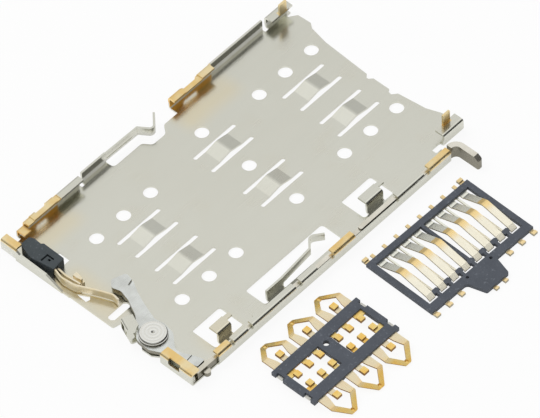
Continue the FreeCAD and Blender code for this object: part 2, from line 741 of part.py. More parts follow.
def make_switch_housing():
    """The switch's moulded housing, slotted for its blade and its fixed contact."""
    body = new_body("switch_housing", S.switch_x, S.switch_y, 0)
    block(body, "housing", [(-0.10, -0.16, 0.05), (0.98, -0.04, 0.05), (1.01, 1.77), (0.87, 1.93),
                            (0.91, 2.53), (0.76, 2.86, 0.05), (0.03, 2.89, 0.05), (-0.09, 2.72),
                            (-0.39, 1.62, 0.1), (-0.23, 0.63, 0.1)], S.sheet, S.switch_high)
    groove = outline(new_sketch(body, "latch_groove", at=(0, 0, S.switch_high)),
                     [(0.54, 1.02), (-0.12, 1.02), (-0.12, 0.88), (0.41, 0.88), (0.41, 0.36),
                      (0.54, 0.36)])
    outline(groove, rectangle(0.17, 0.46, 0.33, 0.66))
    pocket(body, "groove", groove, 0.25)
    room = S.blade_thick / 2 + 0.05
    slots = new_sketch(body, "blade_slots", at=(0, 0, S.blade_high + 0.05))
    outline(slots, rectangle(-room, -0.40, room, 0.26))
    outline(slots, rectangle(0.25 - S.blade_thick / 2, -0.40, 0.25 + S.blade_thick / 2, 0.26))
    pocket(body, "blade_room", slots)
    return body


def make_switch_contacts():
    """The switch's long blade, which the lever pushes aside, and its fixed contact."""
    thick = S.blade_thick
    blade = new_body("switch_blade", S.switch_x, S.switch_y, 0)
    ribbon(blade, "blade", [(0, 0.20), (0, -0.20, 0.5), (-0.20, -0.90, 1.0), (-0.10, -1.95, 1.5),
                            (0.62, -3.55, 2.0), (0.98, -4.45, 0.4), (0.90, -4.95)],
           S.blade_low, S.blade_high, thick, turn=0)
    fixed = new_body("switch_contact", S.switch_x, S.switch_y, 0)
    ribbon(fixed, "fixed_blade", [(0.25, 0.26), (0.25, -0.35, 0.5), (0.18, -0.95, 1.0),
                                  (0.30, -2.15)], S.blade_low, S.blade_high - 0.15, thick, turn=0)
    block(fixed, "contact_foot", [(0.22, -1.20), (0.86, -1.20, 0.1), (0.92, -1.50, 0.1),
                                  (0.78, -2.05), (0.24, -2.10)], S.sheet, S.blade_low + 0.06)
    block(fixed, "contact_tongue", [(0.50, -1.28), (0.84, -1.28), (0.80, -1.60), (0.70, -1.96),
                                    (0.56, -1.96), (0.50, -1.60)], S.sheet + 0.05, S.blade_high - 0.15)
    return blade, fixed


def sim_half():
    """Half the length of the upper card's block: its columns, an arm's reach and a margin."""
    return S.column_pitch + S.arm_half + S.sim_margin


def make_sim_frame():
    """The upper card's contact carrier: a moulded frame with two windows round a middle post."""
    body = new_body("sim_frame", S.sim_x, S.sim_y, 0)
    half, deep = sim_half(), S.sim_deep / 2
    ear = half + S.sim_ear
    right = [(half, -1.50), (half, -0.88), (ear, -0.88), (ear, 0.88), (half, 0.88), (half, 1.50),
             (ear, 1.50), (ear, deep)]
    left = [(-x, -y) for x, y in right]
    block(body, "frame", [(ear, -deep), (ear, -1.50)] + right + [(-ear, deep), (-ear, 1.50)] + left,
          S.sim_low, S.sim_high)
    cuts = new_sketch(body, "frame_windows", at=(0, 0, S.sim_high))
    near, far, bar = S.sim_post / 2, half - S.sim_end, deep - S.sim_bar
    outline(cuts, rectangle(near, -bar, far, bar))
    outline(cuts, rectangle(-far, -bar, -near, bar))
    circle(cuts, 0, 0.80, 0.22)
    pocket(body, "frame_window_cut", cuts)
    seats = new_sketch(body, "contact_seats", at=(0, 0, S.sim_contact_low + S.sim_sheet))
    for column in (-1, 0, 1):
        x = S.column_pitch * column
        for low, high in ((bar, deep), (-deep, -bar)):
            outline(seats, rectangle(x - S.arm_half, low, x + S.arm_half, high))
    pocket(body, "contact_seat_cut", seats)
    return body


def sim_leg(leg, bar, strip):
    """The corners of an inner leg from left to right. A strip joins it to the window's corner."""
    low, high, corner = Size.of(leg - 0.21), Size.of(leg + 0.21), sim_half() - S.sim_end - S.column_pitch
    left, right = [(low, bar)], [(high, bar)]
    if strip < 0:
        left = [(-corner, bar), (-corner, bar - 0.42), (low, bar - 0.42)]
    if strip > 0:
        right = [(high, bar - 0.42), (corner, bar - 0.42), (corner, bar)]
    return left + [(low, bar - 0.74), (high, bar - 0.74)] + right


def make_sim_contact(name, column, row):
    """One stamped contact: two arms that dip to a dome, a solder tail, and two inner pads."""
    x = S.sim_x + S.column_pitch * column
    body = new_body(name, x, S.sim_y, 0, 0 if row > 0 else 180)
    side = column * row
    deep = S.sim_deep / 2
    bar = deep - S.sim_bar
    low, sheet = S.sim_contact_low, S.sim_sheet
    wide, width, shoulder = S.arm_half, S.arm_width, deep + S.shoulder
    legs = {0: (-0.88, 0.88), 1: (-0.65, 0.43), -1: (-0.43, 0.65)}[side]
    tail = S.pad_half
    arm = [(wide, bar), (wide, shoulder + 0.03), (wide - width - 0.03, shoulder + 0.03),
           (0.51, deep + 0.40), (0.46, deep)]
    middle = [(tail, deep), (tail, deep + 0.83), (-tail, deep + 0.83), (-tail, deep)]
    mirrored = [(-a, b) for a, b in reversed(arm)]
    inner = []
    for leg in legs:
        inner += sim_leg(leg, bar, side if side * leg > 0 else 0)
    block(body, "blank", arm + middle + mirrored + inner, low, low + sheet)
    pads = new_sketch(body, "pads", at=(0, 0, low + sheet / 2))
    outline(pads, rectangle(-tail, deep + 0.38, tail, deep + 0.83))
    for leg in legs:
        outline(pads, rectangle(leg - 0.21, bar - 0.74, leg + 0.21, bar - 0.29))
    pad(body, "solder_pads", pads, sheet / 2 + S.pad_step)

    reach = S.row_pitch / 2 - shoulder
    drop = low - S.dome_depth
    slope = Size.of(math.hypot(reach.value, drop.value))
    dip = math.degrees(math.atan2(drop.value, reach.value))
    wing = new_sketch(body, "wing", at=(0, shoulder, low), stand=-dip)
    outline(wing, [(wide, -0.04), (wide, 0.08), (0.24, slope + 0.16, 0.12), (-0.24, slope + 0.16, 0.12),
                   (-wide, 0.08), (-wide, -0.04), (width - wide, -0.04), (-0.10, slope - 0.20),
                   (0.10, slope - 0.20), (wide - width, -0.04)])
    pad(body, "wings", wing, sheet)
    level = S.dome_depth + sheet / 2
    bulge = outline(new_sketch(body, "dome_outline", at=(0, shoulder + reach, level)), octagon(0, 0, 0.20))
    dome = pad(body, "dome", bulge, level)
    dome.Reversed = True
    dome.TaperAngle = -35
    dent = outline(new_sketch(body, "dimple_outline", at=(0, shoulder + reach, S.dome_depth + sheet * 2)),
                   octagon(0, 0, 0.17))
    dimple = pocket(body, "dimple", dent, sheet * 1.7)
    dimple.TaperAngle = -20
    return body


def make_sim_anchor(name, side, end):
    """A small tinned tab that stands out of a notch in the frame's end."""
    body = new_body(name, S.sim_x, S.sim_y, 0)
    half = sim_half()
    low, high = (half, half + 0.22) if side > 0 else (-half - 0.22, -half)
    y = 1.19 * end
    block(body, "tab", rectangle(low, y - 0.20, high, y + 0.20), S.sim_contact_low,
          S.sim_contact_low + S.sim_sheet)
    return body


def sd_contact_x(index):
    """The place of a contact from the middle of the lower card's block."""
    return S.sd_pitch * (index - 3.5)


def has_rail(index):
    """Whether a contact carries a thin side rail: all but the last one before each bar of the frame."""
    return index not in (3, 7)


def sd_half():
    """Half the length of the lower card's block: its row of contacts and a margin."""
    return S.sd_pitch * 3.5 + S.sd_margin


def make_sd_frame():
    """The lower card's contact carrier: frame, middle bar, comb of posts and the pick-up pad."""
    body = new_body("sd_frame", S.sd_x, S.sd_y, 0, S.sd_turn)
    half, deep = sd_half(), S.sd_deep / 2
    comb = -deep + 0.60
    pad_low = -deep - S.sd_pad
    block(body, "frame", [(-half, -deep), (-1.55, -deep, 0.3), (-1.10, pad_low, 0.15),
                          (0.95, pad_low, 0.15), (1.30, -deep, 0.2), (half, -deep), (half, deep),
                          (-half, deep)], 0, S.sd_high)
    cuts = new_sketch(body, "frame_windows", at=(0, 0, S.sd_high))
    inner = half - 0.42
    outline(cuts, rectangle(-inner, comb, -0.12, deep - 0.45))
    outline(cuts, rectangle(0.12, comb, inner, deep - 0.45))
    outline(cuts, octagon(-1.14, -deep + 0.30, 0.12))
    outline(cuts, octagon(1.04, -deep + 0.28, 0.12))
    pocket(body, "frame_window_cut", cuts)
    posts = new_sketch(body, "posts", at=(0, 0, 0))
    for index in range(7):
        x = sd_contact_x(index) + S.sd_pitch / 2
        outline(posts, [(x - 0.11, comb - 0.10), (x + 0.11, comb - 0.10), (x + 0.11, comb + 0.30),
                        (x + 0.26, comb + 0.36), (x + 0.26, comb + 0.56), (x + 0.18, comb + 0.66),
                        (x - 0.18, comb + 0.66), (x - 0.26, comb + 0.56), (x - 0.26, comb + 0.36),
                        (x - 0.11, comb + 0.30)])
    pad(body, "comb", posts, S.sd_high)
    seats = new_sketch(body, "contact_seats", at=(0, 0, S.seat_low + S.sd_sheet))
    for index in range(8):
        x = sd_contact_x(index)
        right = S.sd_pitch / 2 + 0.07 if has_rail(index) else Size.of(0.40)
        outline(seats, rectangle(x - 0.40, deep - 0.46, x + right, deep))
    pocket(body, "contact_seat_cut", seats)
    return body


def make_sd_contact(name, index):
    """One stamped contact: tail, seat under the frame's bar, and the paddle with its crest."""
    x = sd_contact_x(index)
    turn = math.radians(S.sd_turn.value)
    place_x = S.sd_x + x * math.cos(turn)
    place_y = S.sd_y + x * math.sin(turn)
    body = new_body(name, place_x, place_y, 0, S.sd_turn)
    deep = S.sd_deep / 2
    low, sheet, half = S.seat_low, S.sd_sheet, S.paddle_width / 2
    seat = [(-0.40, deep - 0.46), (-0.28, deep - 0.46), (-0.28, deep - 0.80), (0.28, deep - 0.80),
            (0.28, deep - 0.46)]
    if has_rail(index):
        side = S.sd_pitch / 2
        seat += [(side - 0.07, deep - 0.46), (side - 0.07, S.rail_end), (side + 0.07, S.rail_end),
                 (side + 0.07, deep - 0.36), (0.40, deep - 0.36)]
    else:
        seat += [(0.40, deep - 0.46)]
    seat += [(0.40, deep), (0.12, deep), (0.12, deep + 0.42), (-0.12, deep + 0.42), (-0.12, deep),
             (-0.40, deep)]
    block(body, "blank", seat, low, low + sheet)
    crest = S.paddle_crest - sheet
    profile = new_sketch(body, "paddle_side", at=(-half, 0, 0), turn=90, stand=90)
    root, top, toe = deep - 0.75, S.crest_y, S.toe_y
    under = [(toe, low + 0.06), (toe + 0.35, low + 0.26), (top, crest, 0.5), (root, low), (root + 0.15, low)]
    over = [(point[0], point[1] + sheet) + point[2:] for point in reversed(under)]
    outline(profile, under + over)
    pad(body, "paddle", profile, S.paddle_width)
    return body


def make_sd_tab(name, x, y, wide, long, turn):
    """A tinned tail that stands out of the lower card's frame, with a raised solder pad at its end."""
    angle = math.radians(S.sd_turn.value)
    body = new_body(name, S.sd_x + x * math.cos(angle) - y * math.sin(angle),
                    S.sd_y + x * math.sin(angle) + y * math.cos(angle), 0, S.sd_turn + turn)
    half = Size.of(wide / 2)
    block(body, "tail", rectangle(-half, 0, half, Size.of(long)), 0, S.sd_sheet)
    block(body, "tail_pad", rectangle(-half, Size.of(long / 2), half, Size.of(long)), S.sd_sheet / 2,
          S.sd_sheet * 2)
    return body


def make_blocks():
    """Both contact blocks with all their contacts."""
    pieces = [make_sim_frame()]
    number = 0
    for row in (1, -1):
        for column in (-1, 0, 1):
            number += 1
            pieces.append(make_sim_contact("sim_contact_%d" % number, column, row))
    corners = [(side, end) for side in (-1, 1) for end in (-1, 1)]
    for number, (side, end) in enumerate(corners, 1):
        pieces.append(make_sim_anchor("sim_anchor_%d" % number, side, end))
    pieces.append(make_sd_frame())
    for index in range(8):
        pieces.append(make_sd_contact("sd_contact_%d" % (index + 1), index))
    upper, lower, pad_end = S.sd_deep / 2, -S.sd_deep / 2, -S.sd_deep / 2 - S.sd_pad
    end = sd_half() - S.sd_margin / 3
    tabs = [(-end, upper, 0.40, 0.50, 0), (end, upper, 0.40, 0.50, 0)]
    tabs += [(Size.of(x), lower, 0.36, 0.42, 180) for x in (-4.55, -3.40, -2.25, 2.30, 3.45, 4.55)]
    tabs += [(Size.of(x), pad_end, 0.30, 0.30, 180) for x in (-0.40, 0.45)]
    for number, tab in enumerate(tabs, 1):
        pieces.append(make_sd_tab("sd_anchor_%d" % number, *tab))
    return pieces


def check_and_write(pieces):
    """Stops on any failed object, then writes each piece to its own file."""
    doc.recompute()
    failed = [item.Label for item in doc.Objects if {"Invalid", "Error"} & set(item.State)]
    if failed:
        raise SystemExit("failed: " + ", ".join(failed))
    for piece in pieces:
        if piece.Shape.isNull() or not piece.Shape.isValid():
            raise SystemExit("bad shape: " + piece.Label)
    os.makedirs("parts", exist_ok=True)
    for piece in pieces:
        piece.Shape.exportStep("parts/%s.step" % piece.Label)


fill_sheet()
made = [make_shell(), make_push_rod(), make_lever(), make_rivet(), make_switch_housing()]
made += make_switch_contacts()
made += make_blocks()
check_and_write(made)
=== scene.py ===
import json
import math

import bpy
from mathutils import Euler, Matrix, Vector

# The looks of the card tray socket: plated sheet metal, moulded carriers and gold contacts, dressed
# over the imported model. Places on the shell are given in millimetres from its first contact hole,
# as in the part's own drawing, and moved to the shared frame by shell_point. Tones are written as
# they look on screen, 0 to 255.

MM = 0.001
FIRST_HOLE = (-8.5, 4.5)

# The camera: where it aims on the floor, from which side, height and distance it looks, its roll,
# its lens and sensor in millimetres, and the nearest and farthest that it sees, in metres.
AIM = (0.727 * MM, -2.269 * MM, 0.0)
CAMERA_SIDE = math.radians(-134.46)
CAMERA_HEIGHT = math.radians(51.03)
CAMERA_DISTANCE = 406.1 * MM
CAMERA_ROLL = math.radians(-3.565)
CAMERA_LENS = 416.9
SENSOR_WIDTH = 36.0
CLIP_START, CLIP_END = 0.01, 10.0

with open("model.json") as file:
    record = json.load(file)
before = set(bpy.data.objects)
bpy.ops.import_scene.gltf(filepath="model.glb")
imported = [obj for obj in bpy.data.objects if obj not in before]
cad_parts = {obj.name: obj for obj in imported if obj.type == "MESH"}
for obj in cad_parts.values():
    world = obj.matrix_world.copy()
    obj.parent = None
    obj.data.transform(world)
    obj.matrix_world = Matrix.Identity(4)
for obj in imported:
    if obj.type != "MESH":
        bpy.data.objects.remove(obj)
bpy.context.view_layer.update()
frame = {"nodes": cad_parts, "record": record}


def shell_point(x, y):
    """A place on the shell, in metres in the shared frame."""
    return ((x + FIRST_HOLE[0]) * MM, (y + FIRST_HOLE[1]) * MM)


def colour(tone):
    """A colour as it looks on screen, 0 to 255, in the renderer's linear values."""
    def linear(value):
        value /= 255
        return value / 12.92 if value <= 0.04045 else ((value + 0.055) / 1.055) ** 2.4
    return (*(linear(value) for value in tone), 1.0)


# Between which values of its streaks a surface goes from smooth to rough, and between which upward
# parts of its normal a face starts to count as flat.
STREAK_RANGE = (0.25, 0.75)
FLAT_RANGE = (0.15, 0.45)


class Graph:
    """A material's nodes, made and joined by name."""

    def __init__(self, name):
        self.material = bpy.data.materials.new(name)
        self.material.use_nodes = True
        self.nodes = self.material.node_tree.nodes
        self.links = self.material.node_tree.links
        place = self.nodes.new("ShaderNodeTexCoord")
        self.place = place.outputs["Object"]

    def put(self, socket, value):
        """Joins an output to a socket, or sets the socket's own value."""
        if isinstance(value, bpy.types.NodeSocket):
            self.links.new(value, socket)
        else:
            socket.default_value = value

    def math(self, operation, *values):
        """A Math node's result, from outputs or numbers."""
        made = self.nodes.new("ShaderNodeMath")
        made.operation = operation
        for socket, value in zip(made.inputs, values):
            self.put(socket, value)
        return made.outputs[0]

    def noise(self, scale, detail=3.0, roughness=0.6, stretch=(1, 1, 1)):
        """Noise over the part, 0 to 1. A stretch above 1 draws it out along that axis."""
        mapping = self.nodes.new("ShaderNodeMapping")
        self.links.new(self.place, mapping.inputs["Vector"])
        mapping.inputs["Scale"].default_value = [1 / value for value in stretch]
        made = self.nodes.new("ShaderNodeTexNoise")
        self.links.new(mapping.outputs["Vector"], made.inputs["Vector"])
        made.inputs["Scale"].default_value = scale
        made.inputs["Detail"].default_value = detail
        made.inputs["Roughness"].default_value = roughness
        return made.outputs["Fac"]

    def spread(self, value, low, high, to_low=0.0, to_high=1.0):
        """Maps a value's range smoothly to another."""
        made = self.nodes.new("ShaderNodeMapRange")
        made.interpolation_type = "SMOOTHSTEP"
        limits = {"From Min": low, "From Max": high, "To Min": to_low, "To Max": to_high}
        for name, number in limits.items():
            made.inputs[name].default_value = number
        self.put(made.inputs["Value"], value)
        return made.outputs["Result"]

    def past(self, place, band, before=0.0, after=1.0):
        """Changes smoothly from one value to another over a band of places, in millimetres."""
        return self.spread(place, band[0] * MM, band[1] * MM, before, after)

    def streaked(self, streaks, smooth, rough):
        """A roughness between two values, by how the streaks run."""
        return self.spread(streaks, *STREAK_RANGE, smooth, rough)

    def mix(self, share, first, second):
        """A colour between two, by a share from 0 to 1."""
        made = self.nodes.new("ShaderNodeMix")
        made.data_type = "RGBA"
        self.put(made.inputs["Factor"], share)
        self.put(made.inputs["A"], first)
        self.put(made.inputs["B"], second)
        return made.outputs["Result"]

    def tones(self, share, pair):
        """A colour between a pair of tones."""
        return self.mix(share, colour(pair[0]), colour(pair[1]))

    def bump(self, height, depth, strength):
        """Fine relief, its depth in millimetres."""
        made = self.nodes.new("ShaderNodeBump")
        made.inputs["Strength"].default_value = strength
        made.inputs["Distance"].default_value = depth * MM
        self.links.new(height, made.inputs["Height"])
        return made.outputs["Normal"]

    def axes(self):
        """The place on the part, split along x, y and z."""
        split = self.nodes.new("ShaderNodeSeparateXYZ")
        self.links.new(self.place, split.inputs["Vector"])
        return split.outputs["X"], split.outputs["Y"], split.outputs["Z"]

    def facing_up(self):
        """0 on upright faces and 1 on faces that lie flat or slope gently, up or down."""
        place = self.nodes.new("ShaderNodeTexCoord")
        split = self.nodes.new("ShaderNodeSeparateXYZ")
        self.links.new(place.outputs["Normal"], split.inputs["Vector"])
        return self.spread(self.math("ABSOLUTE", split.outputs["Z"]), *FLAT_RANGE)

    def within(self, value, low, high, soft):
        """1 between two places along an axis, with soft ends."""
        rise = self.spread(value, low - soft / 2, low + soft / 2)
        fall = self.spread(value, high - soft / 2, high + soft / 2, 1.0, 0.0)
        return self.math("MULTIPLY", rise, fall)

    def over_zone(self, x, y, zone, soft):
        """1 over a zone of the shell, given as x and y from and to, with soft edges."""
        left, right, front, back = zone
        low, high = shell_point(left, front), shell_point(right, back)
        across = self.within(x, low[0], high[0], soft * MM)
        return self.math("MULTIPLY", across, self.within(y, low[1], high[1], soft * MM))

    def largest(self, values):
        """The largest of several outputs."""
        total = values[0]
        for value in values[1:]:
            total = self.math("MAXIMUM", total, value)
        return total

    def finish(self, base, metallic, rough, normal):
        """Joins the four values to the shader and gives the finished material."""
        inputs = self.nodes["Principled BSDF"].inputs
        self.put(inputs["Base Color"], base)
        self.put(inputs["Metallic"], metallic)
        self.put(inputs["Roughness"], rough)
        self.put(inputs["Normal"], normal)
        return self.material


# Where the shell's folded edges were gold-plated: x and y from and to, from the first contact hole,
# and the height that the gold starts from. The last two are the faces inside the back wall.
GOLD_ZONES = [
    (-3.40, 0.40, 3.20, 4.20, 0.66), (11.02, 15.05, 3.15, 4.20, 0.66),
    (-4.85, -3.90, 2.62, 4.20, 0.98), (-4.85, -3.60, -13.20, -10.05, 0.98),
    (-2.45, -1.05, -13.20, -12.30, 0.90), (8.50, 10.70, -13.20, -12.30, 0.90),
    (17.80, 19.95, -13.20, -12.30, 0.90), (21.15, 21.90, 3.20, 3.65, 0.95),
    (21.15, 21.90, -11.30, -10.90, 0.95), (-3.40, 0.40, 3.70, 3.97, 0.22),
    (11.02, 15.05, 3.70, 3.97, 0.22),
]

# Where a thin painted reflection of the gold walls and the switch's gold leaf feathers out over the
# mirror-like plate: x and y from and to, in the same way.
PAINTED_GOLD_REFLECTIONS = [
    (-3.80, 0.60, 1.70, 3.60), (10.60, 15.40, 1.50, 3.60), (-4.60, -2.60, -5.60, -0.60),
    (-1.80, 0.80, -12.40, -10.60),
]

# How softly the gold and its painted reflection end, in millimetres, and the painted reflection's
# thinnest and thickest share.
GOLD_EDGE = 0.08
PAINTED_REFLECTION_EDGE = 1.6
PAINTED_REFLECTION_SHARE = (0.25, 0.55)

# The back wall's faces are satin instead of bright, and its gold is deeper: where they start,
# across the shell, how high up each of the two fades out, and how much less they mirror.
BACK_WALL = (2.80, 3.00)
SATIN_TOP = (0.45, 0.62)
DEEP_TOP = (0.74, 0.88)
SATIN_DULLNESS = 0.85
DEEP_DULLNESS = 0.55

# The sheet's tones, among them the painted reflection of the gold in the plate, and how strongly
# its stains show.
NICKEL = ((226, 225, 212), (231, 231, 220))
STAINED = (216, 210, 190)
PLATING = ((253, 218, 146), (255, 236, 188))
PAINTED_REFLECTION_TONE = (244, 226, 180)
SATIN = (248, 247, 238)
DEEP_GOLD = (250, 190, 84)
STAIN_SHARE = 0.22

# The sheet's roughness where its streaks are smooth and rough, and what stains and gold add to it.
SHEET_ROUGHNESS = (0.17, 0.27)
STAIN_ROUGHNESS = 0.05
GOLD_ROUGHNESS = 0.14


def plated_sheet():
    """Satin nickel strip with its rolling streaks, faint stains and gold-plated zones."""
    graph = Graph("plated_sheet")
    x, y, z = graph.axes()
    zones = []
    for *zone, height in GOLD_ZONES:
        above = graph.past(z, (height - GOLD_EDGE / 2, height + GOLD_EDGE / 2))
        zones.append(graph.math("MULTIPLY", graph.over_zone(x, y, zone, GOLD_EDGE), above))
    gold = graph.largest(zones)
    # Painted reflection: where the gold walls and leaf would be mirrored in the plate, laid on as
    # colour.
    painted_reflection_zone = graph.largest([graph.over_zone(x, y, zone, PAINTED_REFLECTION_EDGE) for zone in PAINTED_GOLD_REFLECTIONS])

    streaks = graph.noise(9000, stretch=(40, 1, 1))
    clouds = graph.noise(160, roughness=0.55)
    stains = graph.spread(graph.noise(420, detail=2.0, roughness=0.5), low=0.50, high=0.80)
    nickel = graph.tones(clouds, NICKEL)
    nickel = graph.mix(graph.math("MULTIPLY", stains, STAIN_SHARE), nickel, colour(STAINED))
    worn = graph.spread(graph.noise(900, roughness=0.5), low=0.35, high=0.7)
    plating = graph.tones(worn, PLATING)
    # The painted reflection of the gold, mixed into the nickel's colour.
    painted_reflection = graph.math("MULTIPLY", painted_reflection_zone, graph.spread(clouds, 0.2, 0.8, *PAINTED_REFLECTION_SHARE))
    nickel = graph.mix(painted_reflection, nickel, colour(PAINTED_REFLECTION_TONE))

    wall_start, wall_full = [shell_point(0, place)[1] for place in BACK_WALL]
    upright = graph.math("SUBTRACT", 1.0, graph.facing_up())
    upright = graph.math("MULTIPLY", upright, graph.spread(y, wall_start, wall_full))
    satin = graph.math("MULTIPLY", upright, graph.past(z, SATIN_TOP, 1.0, 0.0))
    satin = graph.math("MULTIPLY", satin, graph.math("SUBTRACT", 1.0, gold))
    deep = graph.math("MULTIPLY", upright, graph.past(z, DEEP_TOP, 1.0, 0.0))
    deep = graph.math("MULTIPLY", deep, gold)
    nickel = graph.mix(satin, nickel, colour(SATIN))
    plating = graph.mix(deep, plating, colour(DEEP_GOLD))

    dull = graph.math("ADD", graph.math("MULTIPLY", satin, SATIN_DULLNESS),
                      graph.math("MULTIPLY", deep, DEEP_DULLNESS))
    rough = graph.streaked(streaks, *SHEET_ROUGHNESS)
    rough = graph.math("ADD", rough, graph.math("MULTIPLY", stains, STAIN_ROUGHNESS))
    rough = graph.math("ADD", rough, graph.math("MULTIPLY", gold, GOLD_ROUGHNESS))
    return graph.finish(graph.mix(gold, nickel, plating), graph.math("SUBTRACT", 1.0, dull), rough,
                        graph.bump(streaks, depth=0.0006, strength=0.35))


# Stamped steel's tones, bright and worn, on the lever and on the rod, its sheared edges' tone, and
# its roughness where its streaks are smooth and rough.
LEVER_STEEL = ((240, 243, 239), (216, 218, 213))
ROD_STEEL = ((246, 242, 229), (224, 219, 203))
SHEARED_STEEL = (150, 146, 132)
STEEL_ROUGHNESS = (0.24, 0.36)


def stamped_steel(name="stamped_steel", pair=LEVER_STEEL):
    """Bright stamped steel with softly darker worn patches and duller sheared edges."""
    graph = Graph(name)
    streaks = graph.noise(7000, stretch=(25, 1, 1))
    clouds = graph.noise(700)
    base = graph.tones(graph.spread(clouds, low=0.3, high=0.75), pair)
    base = graph.mix(graph.facing_up(), colour(SHEARED_STEEL), base)
    return graph.finish(base, 1.0, graph.streaked(streaks, *STEEL_ROUGHNESS),
                        graph.bump(streaks, depth=0.0015, strength=0.4))


# The rivet's middle, how far apart the turning marks on its head are, in millimetres, and its
# tones, the last of them on its upright sides.
PIVOT = (-3.68, -8.60)
TURNING_PITCH = 0.24
HEAD_STEEL = ((252, 252, 247), (238, 238, 232))
HEAD_RINGS = (240, 239, 231)
HEAD_EDGE = (140, 136, 122)
HEAD_ROUGHNESS = 0.24


def turned_steel():
    """The rivet's bright head, with the fine rings that turning left on it."""
    graph = Graph("turned_steel")
    x, y, _ = graph.axes()
    middle = shell_point(*PIVOT)
    aside = graph.math("SUBTRACT", x, middle[0])
    along = graph.math("SUBTRACT", y, middle[1])
    squares = graph.math("ADD", graph.math("MULTIPLY", aside, aside),
                         graph.math("MULTIPLY", along, along))
    radius = graph.math("SQRT", squares)
    turns = graph.math("MULTIPLY", radius, 2 * math.pi / (TURNING_PITCH * MM))
    rings = graph.math("SINE", turns)
    bright = graph.tones(graph.noise(900), HEAD_STEEL)
    base = graph.mix(graph.spread(rings, -1.0, 1.0), bright, colour(HEAD_RINGS))
    base = graph.mix(graph.facing_up(), colour(HEAD_EDGE), base)
    return graph.finish(base, 1.0, HEAD_ROUGHNESS, graph.bump(rings, depth=0.004, strength=0.30))


# The plastic's tones, dark and pale, on the two blocks' frames and on the switch, its fibres' tone
# and how strongly they show, and its roughness, from smooth to rough grain.
FRAME_PLASTIC = ((72, 77, 85), (90, 95, 104))
SWITCH_PLASTIC = ((57, 64, 67), (73, 80, 83))
FIBRE = (128, 134, 142)
FIBRE_SHARE = 0.45
PLASTIC_ROUGHNESS = (0.52, 0.72)


def moulded_plastic(name="moulded_plastic", pair=FRAME_PLASTIC):
    """Glass-filled slate plastic: a fine grain with pale fibre specks."""
    graph = Graph(name)
    grain = graph.noise(9000, detail=4.0, roughness=0.65)
    specks = graph.spread(graph.noise(5200, detail=2.0, roughness=0.5), low=0.60, high=0.74)
    base = graph.tones(graph.noise(900, detail=2.0, roughness=0.5), pair)
    base = graph.mix(graph.math("MULTIPLY", specks, FIBRE_SHARE), base, colour(FIBRE))
    return graph.finish(base, 0.0, graph.spread(grain, 0.3, 0.7, *PLASTIC_ROUGHNESS),
                        graph.bump(grain, depth=0.006, strength=0.5))


# Tin's tones and its roughness.
TIN = ((205, 204, 196), (232, 230, 222))
TIN_ROUGHNESS = (0.28, 0.42)


def tinned_metal():
    """Dull tin, slightly uneven."""
    graph = Graph("tinned_metal")
    clouds = graph.noise(2600)
    rough = graph.spread(clouds, 0.3, 0.7, *TIN_ROUGHNESS)
    return graph.finish(graph.tones(clouds, TIN), 1.0, rough,
                        graph.bump(clouds, depth=0.004, strength=0.4))


# A plated strip's roughness along its streaks, and what its sheared edges add to it.
STRIP_ROUGHNESS = (0.24, 0.36)
CUT_ROUGHNESS = 0.25


def plated_strip(name, cut_edge, tone, shine):
    """A plated strip with duller sheared edges. Tone makes its colour, and shine how it mirrors."""
    graph = Graph(name)
    streaks = graph.noise(9000, stretch=(1, 20, 1))
    flat = graph.facing_up()
    dull = graph.math("MULTIPLY", graph.math("SUBTRACT", 1.0, flat), CUT_ROUGHNESS)
    rough = graph.math("ADD", graph.streaked(streaks, *STRIP_ROUGHNESS), dull)
    return graph.finish(graph.mix(flat, colour(cut_edge), tone(graph)), shine(graph), rough,
                        graph.bump(streaks, depth=0.0008, strength=0.35))


# The six-contact block's middle line, how far from it its arms are pale instead of gold, how
# softly that ends, the heights over which the raised pads and tips turn gold again, its tones, and
# how much it mirrors.
SIM_LINE = -18.1
PALE_ARMS = (1.40, 2.95)
PALE_EDGE = 0.8
RAISED = (0.50, 0.56)
SIM_GOLD = ((254, 206, 104), (255, 228, 150))
SIM_PALE = ((236, 226, 200), (244, 237, 216))
SIM_CUT = (164, 124, 68)
SIM_SHINE = (0.58, 0.76)


def sim_strip():
    """The upper card's contacts: gold pads and raised ends, with paler arms beside the carrier."""
    def tone(graph):
        _, y, z = graph.axes()
        clouds = graph.noise(1500)
        gold = graph.tones(graph.spread(clouds, low=0.3, high=0.7), SIM_GOLD)
        pale = graph.tones(clouds, SIM_PALE)
        aside = graph.math("ABSOLUTE", graph.math("SUBTRACT", y, shell_point(0, SIM_LINE)[1]))
        arms = graph.within(aside, PALE_ARMS[0] * MM, PALE_ARMS[1] * MM, PALE_EDGE * MM)
        low = graph.past(z, RAISED, 1.0, 0.0)
        return graph.mix(graph.math("MULTIPLY", arms, low), gold, pale)

    def shine(graph):
        return graph.spread(graph.noise(1500), 0.3, 0.7, *SIM_SHINE)
    return plated_strip("sim_strip", SIM_CUT, tone, shine)


# The switch's gold and its roughness along its streaks.
BLADE_GOLD = ((254, 238, 200), (255, 246, 224))
BLADE_ROUGHNESS = (0.30, 0.42)


def gold_blade():
    """The switch's leaf and fixed contact: pale gold on every face."""
    graph = Graph("gold_blade")
    streaks = graph.noise(9000, stretch=(1, 1, 12))
    clouds = graph.noise(1500)
    base = graph.tones(graph.spread(clouds, low=0.3, high=0.7), BLADE_GOLD)
    return graph.finish(base, 1.0, graph.streaked(streaks, *BLADE_ROUGHNESS),
                        graph.bump(streaks, depth=0.0008, strength=0.35))


